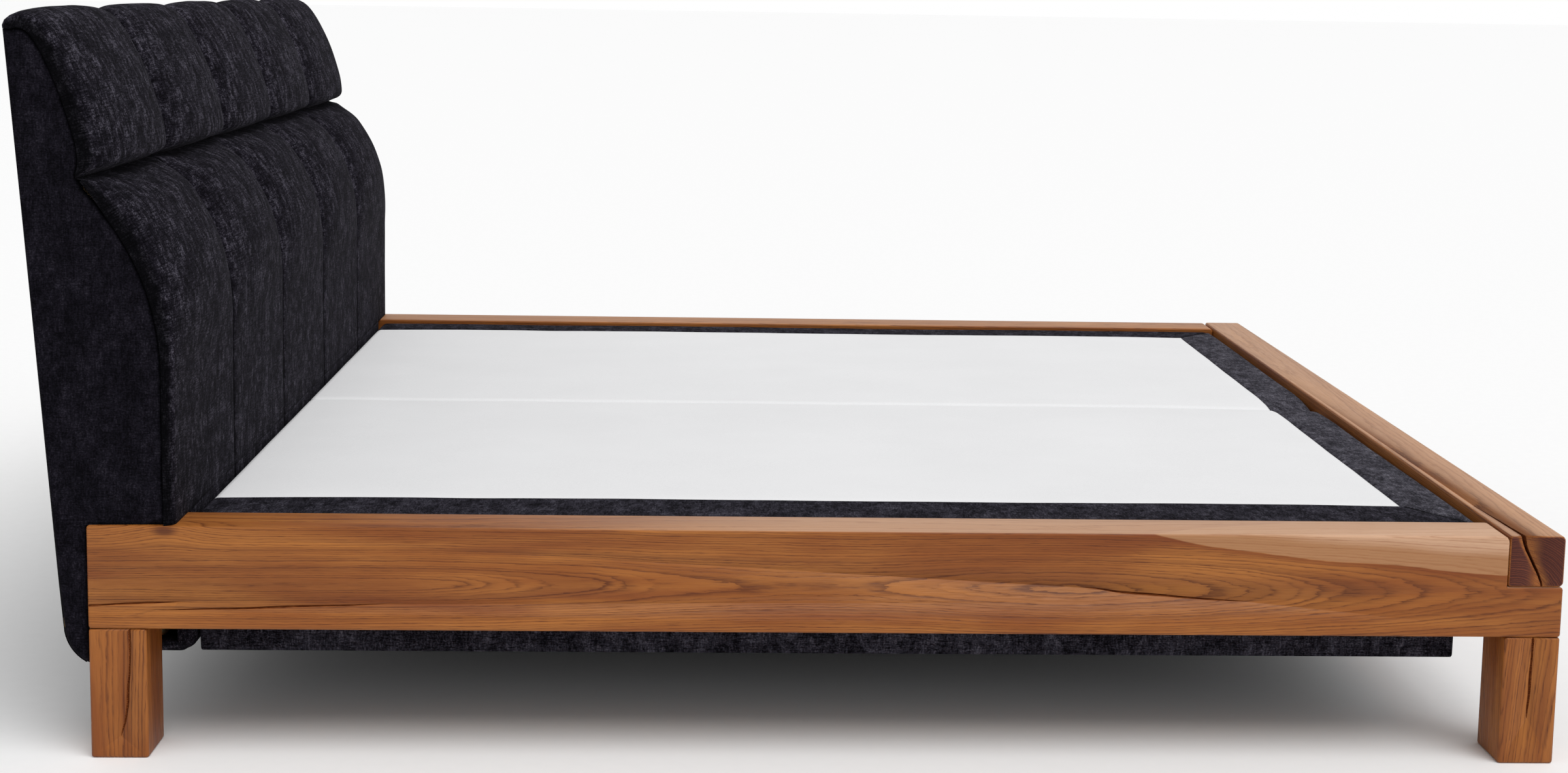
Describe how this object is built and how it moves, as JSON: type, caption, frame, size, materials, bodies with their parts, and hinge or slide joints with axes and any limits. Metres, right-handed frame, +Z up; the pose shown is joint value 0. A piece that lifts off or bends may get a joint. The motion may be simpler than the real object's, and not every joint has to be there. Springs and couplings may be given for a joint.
{
  "type": "box spring bed",
  "caption": "Double bed with a heavy timber frame, a channelled upholstered headboard and loose box spring units lying side by side",
  "frame": {"origin": "on the floor, under the middle of the bed's bounding box", "axes": "+X along the bed from the headboard to the foot end, +Y across it to the right-hand side as seen from the foot end, +Z up"},
  "size_m": [2.335, 1.984, 1.1173],
  "materials": {
    "wild_timber": "oiled, open grained wild oak with knots, checks and a pale sapwood edge",
    "batten_wood": "planed pine, unfinished",
    "plywood": "birch plywood, unfinished",
    "bright_steel": "zinc plated",
    "black_steel": "black, satin",
    "chenille": "woven near-black chenille with lighter streaks",
    "ticking": "fine white ticking",
    "non_woven": "black spun-bonded cloth",
    "foam": "open cell foam",
    "felt": "needled felt",
    "spring_cloth": "white spun-bonded pockets"
  },
  "bodies": {
    "frame": {"side_rail_left": "wild_timber", "side_rail_right": "wild_timber", "foot_beam": "wild_timber", "leg_head_left": "wild_timber", "leg_head_right": "wild_timber", "leg_foot_left": "wild_timber", "leg_foot_right": "wild_timber", "centre_leg": "wild_timber", "leg_rod_head_left": "bright_steel", "leg_rod_head_right": "bright_steel", "leg_rod_foot_left": "bright_steel", "leg_rod_foot_right": "bright_steel", "ledge_left": "batten_wood", "ledge_right": "batten_wood", "centre_beam": "batten_wood", "centre_hanger_head": "black_steel", "centre_hanger_foot": "black_steel", "headboard_post_left": "batten_wood", "headboard_cheek_left": "plywood", "headboard_rib_left": "plywood", "headboard_post_right": "batten_wood", "headboard_cheek_right": "plywood", "headboard_rib_right": "plywood", "headboard_top_rail": "batten_wood", "headboard_middle_rail": "batten_wood", "headboard_bottom_rail": "batten_wood", "headboard_front_board": "plywood", "headboard_foam_upper": "foam", "headboard_cover_upper": "chenille", "headboard_foam_lower": "foam", "headboard_cover_lower": "chenille", "headboard_side_cover_left": "chenille", "headboard_side_cover_right": "chenille", "headboard_back_cover": "chenille", "headboard_bolt_lower_left": "black_steel", "headboard_bolt_lower_right": "black_steel", "headboard_bolt_upper_left": "black_steel", "headboard_bolt_upper_right": "black_steel"},
    "box_left": {"box_left_base_board": "plywood", "box_left_outer_beam": "batten_wood", "box_left_inner_beam": "batten_wood", "box_left_head_beam": "batten_wood", "box_left_foot_beam": "batten_wood", "box_left_spring_core": "spring_cloth", "box_left_felt_pad": "felt", "box_left_foam_pad": "foam", "box_left_border_cover": "chenille", "box_left_top_cover": "ticking", "box_left_dust_cover": "non_woven"},
    "box_right": {"box_right_base_board": "plywood", "box_right_outer_beam": "batten_wood", "box_right_inner_beam": "batten_wood", "box_right_head_beam": "batten_wood", "box_right_foot_beam": "batten_wood", "box_right_spring_core": "spring_cloth", "box_right_felt_pad": "felt", "box_right_foam_pad": "foam", "box_right_border_cover": "chenille", "box_right_top_cover": "ticking", "box_right_dust_cover": "non_woven"}
  },
  "joints": [
    {"name": "lift_left", "type": "slide", "parent": "frame", "child": "box_left", "axis": [0, 0, 1], "range_m": [0, 0.24]},
    {"name": "lift_right", "type": "slide", "parent": "frame", "child": "box_right", "axis": [0, 0, 1], "range_m": [0, 0.24]}
  ]
}
